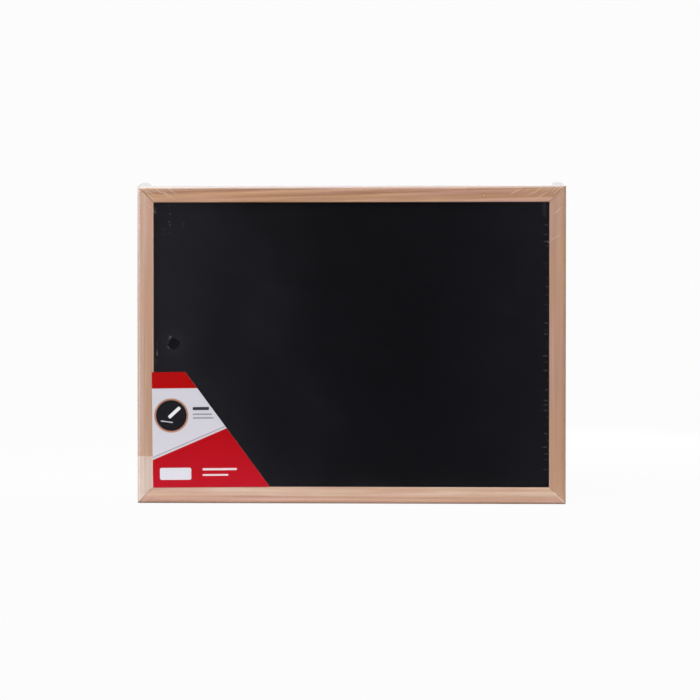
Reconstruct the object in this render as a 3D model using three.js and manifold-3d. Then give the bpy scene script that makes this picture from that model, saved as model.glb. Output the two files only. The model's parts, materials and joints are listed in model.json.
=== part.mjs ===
// A small framed magnetic chalkboard. Millimetres, +Z up, the writing face looks along -Y.
// The board is built lying on its back, with x to the right, y towards the top edge and z towards
// the viewer, and the last lines stand it up. The origin is on the plane of the frame's back,
// halfway along the top rail, level with the nails that the two hanger rings hook over.

import * as THREE from "three";
import { mergeVertices } from "three/addons/utils/BufferGeometryUtils.js";
import Module from "manifold-3d";

// Frame
const openingWidth = 276.6; // black surface between the stiles
const openingHeight = 199; // black surface between the rails
const railFace = 11.7; // width of the wood seen from the front
const railDepth = 12;
const frontLip = 3; // wood in front of the panel
const grooveDepth = 4; // how far the panel reaches into the wood
const outerRound = 2.2; // radius of the outer front edge
const innerRound = 0.6; // radius of the front edge beside the panel
const backEase = 0.4; // sanded back edges
const mitreGap = 0.2; // hairline left at each mitre

// Panel: coated steel sheet on a fibreboard core, with a thin steel sheet behind it
const sheetThickness = 0.4;
const coreThickness = 3;
const backSheetThickness = 0.4;
const glueLine = 0.1;
const grooveClearance = 0.15; // in front of the panel and behind it
const panelEdgeGap = 0.3; // round the panel's edge

// V nails across the mitres
const nailLeg = 3.6;
const nailThickness = 0.5;
const nailHeight = 7;
const nailHalfAngle = Math.PI / 3; // between a leg and the mitre
const nailInset = 5; // spine to each outer edge
const nailClearance = 0.1;
const nailSink = 0.2; // below the wood's back

// Ring hangers on the stiles
const wire = 1.4; // ring wire diameter
const ringWidth = 9.2; // across the ring, between wire centres
const ringReach = 9; // hinge line to the far wire's centre
const ringBend = 1.1; // centre-line radius of the ring's two sharp corners
const strapWidth = 6.6;
const strapThickness = 0.8;
const strapReach = 20; // hinge line to the strap's round tip
const loopClearance = 0.12; // round the wire in the strap's loop
const loopWrap = (200 / 180) * Math.PI; // angle at which the rolled end stops
const hangerInset = 5.4; // hanger's centre line to the stile's outer edge
const screwPlaces = [4.6, 15]; // hinge line to each screw

// Wood screws
const headDiameter = 4.2;
const headHeight = 1.2;
const shankDiameter = 2.2;
const shankLength = 7;
const pointLength = 1.8;
const holeClearance = 0.1;
const recessWidth = 0.6;
const recessLength = 2.4;
const recessDepth = 0.7;

// Printed card in the lower left corner
const cardWidth = 82;
const cardHeight = 81;
const cardTopWidth = 23.5;
const cardThickness = 0.35;
const cardCorner = 1;
const cardTurn = (0.6 * Math.PI) / 180; // turned a little in its own plane
const cardLap = 0.5; // over the left stile at its foot, more higher up
const cardDrop = 0.8; // over the bottom rail at its left end, less towards its tip
const restGap = 0.05; // between the card and the wood that it lies on

const roundSteps = 6; // facets in a rounded edge
const turnedSteps = 20; // facets round a screw
const wireSides = 10;

const boardWidth = openingWidth + 2 * railFace;
const boardHeight = openingHeight + 2 * railFace;
const panelThickness = sheetThickness + coreThickness + backSheetThickness + 2 * glueLine;
const grooveWidth = panelThickness + 2 * grooveClearance;
const grooveBack = railDepth - frontLip - grooveWidth;
const panelReach = grooveDepth - panelEdgeGap;
const sheetFront = railDepth - frontLip - grooveClearance;
const wireRadius = wire / 2;
const loopRadius = wireRadius + loopClearance;
const hingeHeight = strapThickness + loopRadius; // hinge line behind the wood
const nailLineBelowTop = railFace / 2; // the rings hook over nails here
const hingeBelowTop = nailLineBelowTop + ringReach - wireRadius;

const wasm = await Module();
wasm.setup();

const wood = (colour) => new THREE.MeshStandardMaterial({ color: colour, roughness: 0.6 });
const finishes = {
  topWood: wood(0xb68c71),
  sideWood: wood(0xb79079),
  bottomWood: wood(0xcba58a),
  slate: new THREE.MeshStandardMaterial({ color: 0x17171a, roughness: 0.55 }),
  fibreboard: new THREE.MeshStandardMaterial({ color: 0x8a6a4c, roughness: 0.9 }),
  zinc: new THREE.MeshStandardMaterial({ color: 0xa9abad, roughness: 0.45, metalness: 0.8 }),
  steel: new THREE.MeshStandardMaterial({ color: 0xb4b6b8, roughness: 0.35, metalness: 1 }),
  brass: new THREE.MeshStandardMaterial({ color: 0xc9a24e, roughness: 0.3, metalness: 1 }),
  card: new THREE.MeshStandardMaterial({ color: 0xc8202c, roughness: 0.4 }),
};

// Booleans

function toSolid(geometry) {
  const plain = geometry.clone();
  plain.deleteAttribute("normal");
  plain.deleteAttribute("uv");
  const merged = mergeVertices(plain, 1e-4);
  return new wasm.Manifold(
    new wasm.Mesh({
      numProp: 3,
      vertProperties: new Float32Array(merged.attributes.position.array),
      triVerts: new Uint32Array(merged.index.array),
    }),
  );
}

function toGeometry(solid) {
  const mesh = solid.getMesh();
  const geometry = new THREE.BufferGeometry();
  geometry.setAttribute("position", new THREE.BufferAttribute(mesh.vertProperties, 3));
  geometry.setIndex(new THREE.BufferAttribute(mesh.triVerts, 1));
  return geometry;
}

function cut(geometry, tools) {
  let solid = toSolid(geometry);
  for (const tool of tools) solid = solid.subtract(toSolid(tool));
  return toGeometry(solid);
}

function extrude(shape, depth) {
  return new THREE.ExtrudeGeometry(shape, { depth, bevelEnabled: false, curveSegments: roundSteps });
}

// A round bar along z, from its foot at z = 0.
function roundBar(diameter, length) {
  const bar = new THREE.CylinderGeometry(diameter / 2, diameter / 2, length, turnedSteps);
  bar.rotateX(Math.PI / 2);
  bar.translate(0, 0, length / 2);
  return bar;
}

// Frame rails

// The rail's section: x runs inwards from the outer edge, y forwards from the back.
function railSection() {
  const quarter = Math.PI / 2;
  const section = new THREE.Shape();
  section.moveTo(backEase, 0);
  section.lineTo(railFace - backEase, 0);
  section.absarc(railFace - backEase, backEase, backEase, -quarter, 0, false);
  section.lineTo(railFace, grooveBack);
  section.lineTo(railFace - grooveDepth, grooveBack);
  section.lineTo(railFace - grooveDepth, grooveBack + grooveWidth);
  section.lineTo(railFace, grooveBack + grooveWidth);
  section.absarc(railFace - innerRound, railDepth - innerRound, innerRound, 0, quarter, false);
  section.absarc(outerRound, railDepth - outerRound, outerRound, quarter, 2 * quarter, false);
  section.absarc(backEase, backEase, backEase, 2 * quarter, 3 * quarter, false);
  return section;
}

// The plan of a V nail, spine at the origin and legs opening along +y, grown by a clearance.
function nailPlan(grow) {
  const half = nailThickness / 2 + grow;
  const reach = nailLeg + grow;
  const along = new THREE.Vector2(Math.sin(nailHalfAngle), Math.cos(nailHalfAngle));
  const across = new THREE.Vector2(along.y, -along.x);
  const outerEnd = along.clone().multiplyScalar(reach).addScaledVector(across, half);
  const innerEnd = along.clone().multiplyScalar(reach).addScaledVector(across, -half);
  const spine = half / along.x;
  const plan = new THREE.Shape();
  plan.moveTo(0, -spine);
  plan.lineTo(outerEnd.x, outerEnd.y);
  plan.lineTo(innerEnd.x, innerEnd.y);
  plan.lineTo(0, spine);
  plan.lineTo(-innerEnd.x, innerEnd.y);
  plan.lineTo(-outerEnd.x, outerEnd.y);
  return plan;
}

// A rail lying along x with its outer edge at y = 0 and its back at z = 0, mitred at both ends.
// Pilot holes are at given places along it, under a hanger.
function railGeometry(length, pilotPlaces) {
  const bar = extrude(railSection(), length);
  const position = bar.getAttribute("position");
  for (let i = 0; i < position.count; i++) {
    const setback = position.getX(i) + mitreGap / Math.SQRT2;
    const atStart = position.getZ(i) < length / 2;
    position.setZ(i, atStart ? setback : length - setback);
  }
  bar.translate(0, 0, -length / 2);
  bar.applyMatrix4(
    new THREE.Matrix4().makeBasis(
      new THREE.Vector3(0, -1, 0),
      new THREE.Vector3(0, 0, 1),
      new THREE.Vector3(-1, 0, 0),
    ),
  );

  const tools = [];
  for (const side of [-1, 1]) {
    const slot = extrude(nailPlan(nailClearance), nailSink + nailHeight + nailClearance + 1);
    slot.rotateZ((-side * Math.PI) / 4);
    slot.translate(side * (length / 2 - nailInset), -nailInset, -1);
    tools.push(slot);
  }
  for (const place of pilotPlaces) {
    const hole = roundBar(shankDiameter + 2 * holeClearance, shankLength + 1);
    hole.translate(place, -hangerInset, -1);
    tools.push(hole);
  }
  return cut(bar, tools);
}

function frameRails() {
  const halfWidth = boardWidth / 2;
  const halfHeight = boardHeight / 2;
  const screwHeights = screwPlaces.map((place) => halfHeight - hingeBelowTop - place);
  const rails = [
    ["frame_rail_top", boardWidth, 0, 0, halfHeight, [], finishes.topWood],
    ["frame_stile_right", boardHeight, -1, halfWidth, 0, screwHeights.map((y) => -y), finishes.sideWood],
    ["frame_rail_bottom", boardWidth, 2, 0, -halfHeight, [], finishes.bottomWood],
    ["frame_stile_left", boardHeight, 1, -halfWidth, 0, screwHeights, finishes.sideWood],
  ];
  return rails.map(([name, length, quarterTurns, x, y, pilotPlaces, finish]) => {
    const rail = new THREE.Mesh(railGeometry(length, pilotPlaces), finish);
    rail.name = name;
    rail.position.set(x, y, 0);
    rail.rotation.z = (quarterTurns * Math.PI) / 2;
    return rail;
  });
}

function cornerNails() {
  const corners = [
    ["corner_nail_top_right", 1, 1],
    ["corner_nail_top_left", -1, 1],
    ["corner_nail_bottom_left", -1, -1],
    ["corner_nail_bottom_right", 1, -1],
  ];
  return corners.map(([name, right, up], turns) => {
    const nail = new THREE.Mesh(extrude(nailPlan(0), nailHeight), finishes.steel);
    nail.name = name;
    nail.position.set(
      right * (boardWidth / 2 - nailInset),
      up * (boardHeight / 2 - nailInset),
      nailSink,
    );
    nail.rotation.z = -Math.PI / 4 + (turns * Math.PI) / 2;
    return nail;
  });
}

// Panel layers, from the front of the groove backwards

function panelLayers() {
  const width = openingWidth + 2 * panelReach;
  const height = openingHeight + 2 * panelReach;
  const layers = [
    ["writing_sheet", sheetThickness, finishes.slate],
    ["panel_core", coreThickness, finishes.fibreboard],
    ["back_sheet", backSheetThickness, finishes.zinc],
  ];
  let front = sheetFront;
  return layers.map(([name, thickness, finish]) => {
    const layer = new THREE.Mesh(new THREE.BoxGeometry(width, height, thickness), finish);
    layer.name = name;
    layer.position.z = front - thickness / 2;
    front -= thickness + glueLine;
    return layer;
  });
}

// Hangers. In each one's own frame the hinge line is x, the ring points along +y and the
// stile's back is the plane z = hingeHeight.

function strapGeometry() {
  // Side view: x along the strap towards the ring, y away from the wood.
  const side = new THREE.Shape();
  const outer = loopRadius + strapThickness;
  side.moveTo(-strapReach, 0);
  side.lineTo(0, 0);
  side.absarc(0, hingeHeight, outer, -Math.PI / 2, loopWrap, false);
  side.lineTo(
    loopRadius * Math.cos(loopWrap),
    hingeHeight + loopRadius * Math.sin(loopWrap),
  );
  side.absarc(0, hingeHeight, loopRadius, loopWrap, -Math.PI / 2, true);
  side.lineTo(-strapReach, strapThickness);
  const strip = new THREE.ExtrudeGeometry(side, {
    depth: strapWidth,
    bevelEnabled: false,
    curveSegments: 3 * roundSteps,
  });
  strip.translate(0, -hingeHeight, -strapWidth / 2);
  strip.applyMatrix4(
    new THREE.Matrix4().makeBasis(
      new THREE.Vector3(0, 1, 0),
      new THREE.Vector3(0, 0, -1),
      new THREE.Vector3(-1, 0, 0),
    ),
  );

  // Plan: straight sides and a round tip.
  const plan = new THREE.Shape();
  const tip = strapWidth / 2;
  plan.moveTo(tip, outer + 1);
  plan.lineTo(-tip, outer + 1);
  plan.absarc(0, tip - strapReach, tip, Math.PI, 2 * Math.PI, false);
  const block = new THREE.ExtrudeGeometry(plan, {
    depth: 4 * outer,
    bevelEnabled: false,
    curveSegments: 2 * roundSteps,
  });
  block.translate(0, 0, -2 * outer);

  const holes = screwPlaces.map((place) => {
    const hole = roundBar(shankDiameter + 4 * holeClearance, 4 * outer);
    hole.translate(0, -place, -2 * outer);
    return hole;
  });
  return cut(toGeometry(toSolid(strip).intersect(toSolid(block))), holes);
}

// A wire swept round a flat closed line in the plane z = 0.
function wireLoop(line) {
  const positions = [];
  const indices = [];
  const count = line.length;
  line.forEach((point, i) => {
    const before = line[(i + count - 1) % count];
    const after = line[(i + 1) % count];
    const along = after.clone().sub(before).normalize();
    for (let side = 0; side < wireSides; side++) {
      const angle = (side / wireSides) * 2 * Math.PI;
      const out = wireRadius * Math.cos(angle);
      positions.push(point.x + out * along.y, point.y - out * along.x, wireRadius * Math.sin(angle));
      const a = i * wireSides + side;
      const b = i * wireSides + ((side + 1) % wireSides);
      const c = ((i + 1) % count) * wireSides + side;
      const d = ((i + 1) % count) * wireSides + ((side + 1) % wireSides);
      indices.push(a, c, b, b, c, d);
    }
  });
  const loop = new THREE.BufferGeometry();
  loop.setAttribute("position", new THREE.BufferAttribute(new Float32Array(positions), 3));
  loop.setIndex(indices);
  return loop;
}

// A D ring: straight bar on the hinge line, half-round far end.
function ringGeometry() {
  const half = ringWidth / 2;
  const line = new THREE.Path();
  line.moveTo(ringBend - half, 0);
  line.lineTo(half - ringBend, 0);
  line.absarc(half - ringBend, ringBend, ringBend, -Math.PI / 2, 0, false);
  line.absarc(0, ringReach - half, half, 0, Math.PI, false);
  line.absarc(ringBend - half, ringBend, ringBend, Math.PI, 1.5 * Math.PI, false);
  const points = line.getPoints(2 * roundSteps);
  const distinct = points.filter(
    (point, i) => point.distanceTo(points[(i + 1) % points.length]) > wireRadius / 10,
  );
  return wireLoop(distinct);
}

// A pan head screw along y: the seat under its head is at y = 0 and its point at the bottom.
function screwGeometry() {
  const head = headDiameter / 2;
  const shank = shankDiameter / 2;
  const profile = [
    new THREE.Vector2(0, -shankLength),
    new THREE.Vector2(shank, pointLength - shankLength),
    new THREE.Vector2(shank, 0),
    new THREE.Vector2(head, 0),
    new THREE.Vector2(head, 0.4 * headHeight),
  ];
  for (let i = 1; i < roundSteps; i++) {
    const angle = (i / roundSteps) * (Math.PI / 2);
    profile.push(
      new THREE.Vector2(head * Math.cos(angle), (0.4 + 0.6 * Math.sin(angle)) * headHeight),
    );
  }
  profile.push(new THREE.Vector2(0, headHeight));
  const turned = new THREE.LatheGeometry(profile, turnedSteps);
  const recesses = [0, Math.PI / 2].map((turn) => {
    const bar = new THREE.BoxGeometry(recessLength, 2 * recessDepth, recessWidth);
    bar.rotateY(turn);
    bar.translate(0, headHeight, 0);
    return bar;
  });
  return cut(turned, recesses);
}

function hanger(side, name) {
  const group = new THREE.Group();
  group.position.set(
    side * (boardWidth / 2 - hangerInset),
    boardHeight / 2 - hingeBelowTop,
    -hingeHeight,
  );

  const strap = new THREE.Mesh(strapGeometry(), finishes.brass);
  strap.name = `hanger_strap_${name}`;
  group.add(strap);

  const ring = new THREE.Mesh(ringGeometry(), finishes.brass);
  ring.name = `hanger_ring_${name}`;
  group.add(ring);

  screwPlaces.forEach((place, i) => {
    const screw = new THREE.Mesh(screwGeometry(), finishes.brass);
    screw.name = `hanger_screw_${name}_${i === 0 ? "upper" : "lower"}`;
    screw.position.set(0, -place, hingeHeight - strapThickness);
    screw.rotation.x = -Math.PI / 2;
    group.add(screw);
  });
  return group;
}

// Card. It lies on the front of the frame along two edges, and its slanted edge spans the recess.

function labelCard() {
  const outline = new THREE.Shape();
  outline.moveTo(0, cardCorner);
  outline.lineTo(0, cardHeight);
  outline.lineTo(cardTopWidth, cardHeight);
  outline.lineTo(cardWidth, 0);
  outline.lineTo(cardCorner, 0);
  outline.absarc(cardCorner, cardCorner, cardCorner, 1.5 * Math.PI, Math.PI, true);
  const card = new THREE.Mesh(extrude(outline, cardThickness), finishes.card);
  card.name = "label_card";
  card.rotation.z = cardTurn;
  card.position.set(
    -openingWidth / 2 - cardLap,
    -openingHeight / 2 - cardDrop,
    railDepth + restGap,
  );
  return card;
}

const board = new THREE.Group();
board.position.z = -(boardHeight / 2 - nailLineBelowTop);
board.rotation.x = Math.PI / 2;
board.add(...frameRails(), ...cornerNails(), ...panelLayers());
board.add(hanger(-1, "left"), hanger(1, "right"), labelCard());

const chalkboard = new THREE.Group();
chalkboard.add(board);

export default chalkboard;
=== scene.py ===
# A small framed magnetic chalkboard, still in its shrink film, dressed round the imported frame.
# Metres, +Z up. The writing face looks along -Y and the wall side along +Y.

import json
import math
import random

import bmesh
import bpy
from mathutils import Matrix, Vector, noise

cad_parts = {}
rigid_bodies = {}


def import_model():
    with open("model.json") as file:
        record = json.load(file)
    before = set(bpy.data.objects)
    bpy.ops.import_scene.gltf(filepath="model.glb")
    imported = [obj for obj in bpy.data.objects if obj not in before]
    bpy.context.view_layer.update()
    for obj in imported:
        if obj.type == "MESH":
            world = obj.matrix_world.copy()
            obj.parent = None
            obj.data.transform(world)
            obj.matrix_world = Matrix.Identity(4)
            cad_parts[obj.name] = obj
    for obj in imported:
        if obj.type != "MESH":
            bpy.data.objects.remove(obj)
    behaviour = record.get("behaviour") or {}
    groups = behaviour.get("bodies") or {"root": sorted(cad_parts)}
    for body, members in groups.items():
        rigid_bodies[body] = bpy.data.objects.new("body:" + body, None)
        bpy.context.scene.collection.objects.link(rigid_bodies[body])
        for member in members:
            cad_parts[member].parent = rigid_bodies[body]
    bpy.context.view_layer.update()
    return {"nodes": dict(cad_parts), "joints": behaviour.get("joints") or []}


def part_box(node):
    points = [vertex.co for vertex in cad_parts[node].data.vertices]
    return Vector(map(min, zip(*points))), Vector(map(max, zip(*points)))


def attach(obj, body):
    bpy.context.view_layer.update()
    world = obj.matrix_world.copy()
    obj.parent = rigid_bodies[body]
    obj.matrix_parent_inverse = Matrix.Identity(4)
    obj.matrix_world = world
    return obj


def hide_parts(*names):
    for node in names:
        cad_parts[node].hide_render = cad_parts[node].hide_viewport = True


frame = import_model()
bpy.context.scene.view_settings.view_transform = "Standard"

MM = 0.001
MERGE = 0.001 * MM

# Places taken from the frame
rail_low, rail_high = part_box("frame_rail_top")
stile_low, stile_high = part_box("frame_stile_left")
SHEET_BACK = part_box("writing_sheet")[1].y
CARD_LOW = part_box("label_card")[0]
LEFT = stile_low.x
RIGHT = -stile_low.x
TOP = rail_high.z
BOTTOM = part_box("frame_rail_bottom")[0].z
FACE = stile_high.x - stile_low.x
FRONT = rail_low.y
BACK = rail_high.y
INNER_LEFT = LEFT + FACE
INNER_RIGHT = RIGHT - FACE
INNER_TOP = TOP - FACE
INNER_BOTTOM = BOTTOM + FACE
HINGES = {joint["child"]: Vector(joint["pos_m"]) for joint in frame["joints"]}

# Camera, fitted to the frame's edges in the photograph
CAMERA_FOCAL_MM = 85
CAMERA_PLACE = Vector((30.1, -1166.7, -97.1)) * MM
CAMERA_TURN_DEGREES = (89.409, -0.006, 1.523)

# Floor, backdrop and lamps
WHITE = 0.975
FLOOR_RADIUS = 0.6
FLOOR_FADE = 0.35  # from its centre to where it starts to melt into the backdrop
FLOOR_BEHIND = 0.5
FLOOR_GAP = 0.2 * MM
FLOOR_LIT = (0.62, 0.62, 0.62, 1)  # as it lights the board
FLOOR_SEEN = (0.85, 0.85, 0.85, 1)
WORLD_LEVELS = (  # from behind the board round to the camera's side
    (0.0, (0.66, 0.66, 0.66, 1)),
    (0.45, (0.55, 0.55, 0.55, 1)),
    (0.8, (0.4, 0.4, 0.4, 1)),
    (0.97, (0.2, 0.2, 0.235, 1)),
    (1.0, (0.14, 0.14, 0.175, 1)),
)
WORLD_DARK = (0.001, 0.001, 0.005, 1)
LAMPS = (  # name, place from the board's middle, width, watts, mirrored
    ("key", (-1.0, -1.1, 0.8), 0.9, 11.8, True),
    ("fill", (1.2, -1.1, 0.1), 0.9, 8, False),
    ("top", (-0.15, -0.65, 1.0), 1.1, 9, True),
    ("left", (-1.2, -0.35, 0.1), 0.9, 4, True),
    ("back", (0.6, 1.2, 0.8), 0.9, 12, True),
)

# Wood, its tones in red, green and blue from 0 to 255
PALE_WOOD = (214, 186, 166)
FADED_WOOD = (194, 164, 148)
TAN_WOOD = (190, 156, 136)
ROSY_WOOD = (194, 152, 132)
BROWN_WOOD = (182, 146, 126)
WARM_WOOD = (180, 140, 114)
BAND_WANDER = 9 * MM  # how far the border between a face's two bands strays
BAND_START = 3.4 * MM
BAND_END = 5.4 * MM
# Painted shade along the rails' outer edge
RIM_SHADE_WIDTH = 1.9 * MM
RIM_SHADE_FULL = 0.6 * MM
# Painted highlight and shade along the arris beside the panel
ARRIS_LIGHT_WIDTH = 1.4 * MM
ARRIS_LIGHT_FULL = 0.7 * MM
SEAM_WIDTH = 0.5 * MM
SEAM_FULL = 0.1 * MM
KNOT = (93 * MM, -1.2 * MM, 1.2 * MM)  # x, z and radius
FINGER_JOINT = -184 * MM  # height at which the left stile's paler foot starts
# Painted shade on the wall round the panel, deepening behind the front
WALL_SLACK = 0.12 * MM  # what still counts as the wall round the panel
WALL_SHADE_START = 0.25 * MM  # behind the front
WALL_SHADE_FULL = 0.9 * MM
MITRE_LINE = 1.6 * MM
MITRE_LINE_FULL = 0.2 * MM
MITRE_LINE_START = 2 * MM  # in from the rail's outer edge
MITRE_LINE_END = 6 * MM
GRAIN_RELIEF = 0.06 * MM
FLAT_TURN = math.radians(0.5)

# Panel
SLATE_RELIEF = 0.02 * MM
FIBRE_RELIEF = 0.1 * MM
VENT_FADE = (13 * MM, 5 * MM)  # from the vent's centre to where the paler ring ends and is full
DUST_TOWARDS_LEFT = (-95 * MM, -125 * MM)
DUST_UPWARDS = (-42 * MM, -22 * MM)

# Hangers
METAL_RELIEF = 0.01 * MM
WIRE = 1.4 * MM
WIRE_SIDES = 16
RING_WIDTH = 9.2 * MM  # between wire centres
RING_REACH = 9 * MM  # hinge line to the far wire's centre
RING_BEND = 1.1 * MM
RING_BEND_STEPS = 6
RING_BOW_STEPS = 28
RING_MERGE = 0.01 * MM
STRAP_WIDTH = 6.6 * MM
STRAP_THICKNESS = 0.8 * MM
STRAP_REACH = 20 * MM
STRAP_FOOT_ROUND = 0.499  # of its width, so that the two corners just don't meet
STRAP_FOOT_STEPS = 12
STRAP_LOOP_RADIUS = 0.82 * MM  # inside the rolled loop
STRAP_WRAP_DEGREES = 290
STRAP_WRAP_STEPS = 36
STRAP_EDGE = 0.12 * MM
STRAP_EDGE_STEPS = 2
SHARP_TURN = math.radians(50)

# Film
FILM_GLEAM = 0.038  # mirrored straight on
FILM_GLEAM_ON_CARD = 0.005  # where it clings to the card
FILM_GLEAM_RISE = 0.9 * MM  # behind the front, where the round's gloss is full
FILM_GLEAM_FALL = 1.2 * MM  # behind the front, where it starts to fall again
FILM_GAP = 0.1 * MM
FILM_THICKNESS = 0.04 * MM
FILM_ROUND = 2.3 * MM
FILM_ROUND_STEPS = 4
FILM_SIDE_STEPS = (0.3, 0.6, 0.85, 1.0)  # shares of the side's depth
FILM_CELL = 2.2 * MM
FILM_LAP = 0.9 * MM  # onto the frame's back
FILM_DRAPE = 60 * MM  # from the card's edge to where the film is back on the frame
FILM_WAVE = 0.1 * MM
FILM_WAVE_SCALE = 22
FILM_WAVE_SHIFT = Vector((3.1, 0.0, 7.7))
FILM_COCKLE = 0.7 * MM  # depth of the waves in its gloss
# Where the painted highlight on the film's edge rounds dims towards the right, and where it grows
# towards the top
GLEAM_FADE = (-20 * MM, 70 * MM, 0.62)  # x of its start and end, and the share that is left
UPPER_HIGHLIGHT_HAZE = (-75 * MM, -5 * MM)  # heights between which the left edge's haze comes in
BORDER_SLACK = 0.1 * MM

# Folds in the film, each drawn between two limits
FOLD_DEPTH = 0.45  # of its width, to each side of the film
CREASED_CORNERS = ((-1, 1, 9), (1, 1, 13), (-1, -1, 6))  # side, up or down, folds
CREASE_ALONG = (6 * MM, 38 * MM)  # from the corner along one edge
CREASE_ACROSS = (2.5 * MM, 9.5 * MM)  # from that edge inwards
CREASE_DEGREES = (24, 46)
CREASE_LENGTH = (4 * MM, 13 * MM)
CREASE_WIDTH = (0.28 * MM, 0.55 * MM)
PLEATS_BELOW_TOP = 16 * MM
PLEATS_ABOVE_FOOT = 10 * MM
PLEAT_LENGTH = (2.0 * MM, 4.6 * MM)
PLEAT_WIDTH = (0.35 * MM, 0.6 * MM)
PLEAT_DEGREES = (-8, 8)
PLEAT_GAP = (2.8 * MM, 7.0 * MM)
SPECKS = 9
SPECK_HEIGHT = (-118 * MM, -99 * MM)
SPECK_INWARDS = (1.0 * MM, 3.0 * MM)
SPECK_LENGTH = (0.8 * MM, 2.2 * MM)
SPECK_WIDTH = 0.6 * MM
SPECK_DEGREES = (50, 120)
CORNER_FOLDS = 6
CORNER_FOLD_INWARDS = (2.4 * MM, 4.0 * MM)
CORNER_FOLD_FIRST = 1.4 * MM
CORNER_FOLD_STEP = 1.5 * MM
CORNER_FOLD_LENGTH = (2.5 * MM, 4.5 * MM)
CORNER_FOLD_WIDTH = 0.32 * MM
CORNER_FOLD_DEGREES = (34, 42)
VENT_FOLDS = (  # right and up from the vent's centre, length, width, degrees
    (-2.4 * MM, 4.3 * MM, 3.0 * MM, 1.1 * MM, 30),
    (-4.0 * MM, -2.6 * MM, 2.4 * MM, 0.6 * MM, -55),
)

# Vent and ears of the film
VENT = (-124.1 * MM, -104.5 * MM)  # centre of the vent hole
VENT_RADIUS = 4.2 * MM
VENT_PULL = 0.07  # how far the cut is drawn towards four corners
VENT_TURN = math.radians(10)
VENT_RIM = 0.07 * MM
VENT_STEPS = 48
RIM_SIDES = 8
EAR_REACH = 4.4 * MM
EAR_HEIGHT = 2.3 * MM
EAR_INSET = 5.4 * MM
EAR_RIM = 0.1 * MM
EAR_CURL = 0.5 * MM
EAR_CURL_TURN = 2.0  # radians of the curl's wave from the middle to the rim
EAR_STEPS = 24
EAR_LEAN_DEGREES = 5

# Card
CARD_TURN = math.radians(0.6)
CARD_WIDTH = 82 * MM
CARD_HEIGHT = 81 * MM
CARD_TOP_WIDTH = 23.5 * MM
CARD_CORNER = 1 * MM
CARD_CORNER_STEPS = 5
CARD_THICKNESS = 0.35 * MM
CARD_LAP = 0.5 * MM  # onto the left stile
CARD_DROP = 0.8 * MM  # onto the bottom rail
CARD_FOOT = Vector((INNER_LEFT - CARD_LAP, 0, INNER_BOTTOM - CARD_DROP))
CARD_STEP = 2.5 * MM  # mesh size
CARD_MERGE = 0.05 * MM
CARD_SAG = 0.5 * MM  # how far the slanted edge bows into the recess
CARD_RELIEF = 0.03 * MM
PRINT_RELIEF = 0.02 * MM
PRINT_BLUR = 0.08 * MM
PRINT_SLOPE = 0.42  # rise of the white field's foot
FIELD_FOOT = 19.4 * MM  # heights up the card's left edge
RULE_FOOT = 20.8 * MM
RULE_TOP = 21.5 * MM
TOP_STRIP = 69.5 * MM
PRINT_SHIFT = (2 * MM, 36 * MM)  # heights between which the red and the white change a little


def tone(red, green, blue):
    """A colour as seen on a screen, 0 to 255, in the linear values that shaders take."""

    def linear(value):
        share = value / 255
        return share / 12.92 if share <= 0.04045 else ((share + 0.055) / 1.055) ** 2.4

    return (linear(red), linear(green), linear(blue), 1.0)


# Node helpers


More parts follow.
